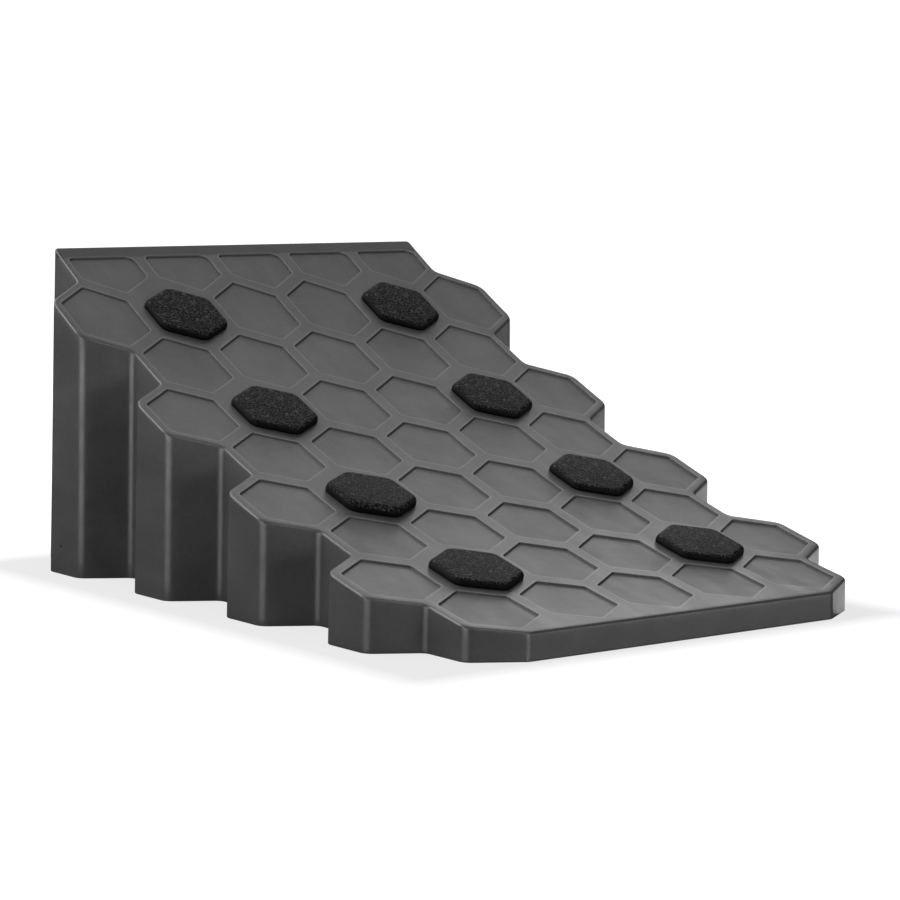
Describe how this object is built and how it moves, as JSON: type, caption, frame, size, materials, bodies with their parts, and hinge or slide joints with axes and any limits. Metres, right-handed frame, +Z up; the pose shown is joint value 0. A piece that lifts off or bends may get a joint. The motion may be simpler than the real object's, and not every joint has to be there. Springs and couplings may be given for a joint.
{
  "type": "leveling ramp block",
  "caption": "Curved honeycomb-patterned ramp block that lifts a trailer wheel, hollow and ribbed underneath, with hexagonal rubber grip pads on its deck.",
  "frame": {"origin": "middle of the footprint, on the ground", "axes": "+X across the block, +Y up the slope from the low front edge to the crest, +Z up"},
  "size_m": [0.3046, 0.3916, 0.1757],
  "materials": {
    "charcoal_polypropylene": "satin moulded plastic, charcoal grey",
    "black_rubber": "leather-grained matt black rubber",
    "black_nylon": "plain moulded nylon, black"
  },
  "bodies": {
    "root": {"ramp_body": "charcoal_polypropylene", "grip_pad_row1_left": "black_rubber", "grip_pad_row1_right": "black_rubber", "grip_pad_row3_left": "black_rubber", "grip_pad_row3_right": "black_rubber", "grip_pad_row5_left": "black_rubber", "grip_pad_row5_right": "black_rubber", "grip_pad_row7_left": "black_rubber", "grip_pad_row7_right": "black_rubber", "push_clip_row1_left_outer": "black_nylon", "push_clip_row1_left_inner": "black_nylon", "push_clip_row1_right_outer": "black_nylon", "push_clip_row1_right_inner": "black_nylon", "push_clip_row3_left_outer": "black_nylon", "push_clip_row3_left_inner": "black_nylon", "push_clip_row3_right_outer": "black_nylon", "push_clip_row3_right_inner": "black_nylon", "push_clip_row5_left_outer": "black_nylon", "push_clip_row5_left_inner": "black_nylon", "push_clip_row5_right_outer": "black_nylon", "push_clip_row5_right_inner": "black_nylon", "push_clip_row7_left_outer": "black_nylon", "push_clip_row7_left_inner": "black_nylon", "push_clip_row7_right_outer": "black_nylon", "push_clip_row7_right_inner": "black_nylon"}
  },
  "joints": []
}
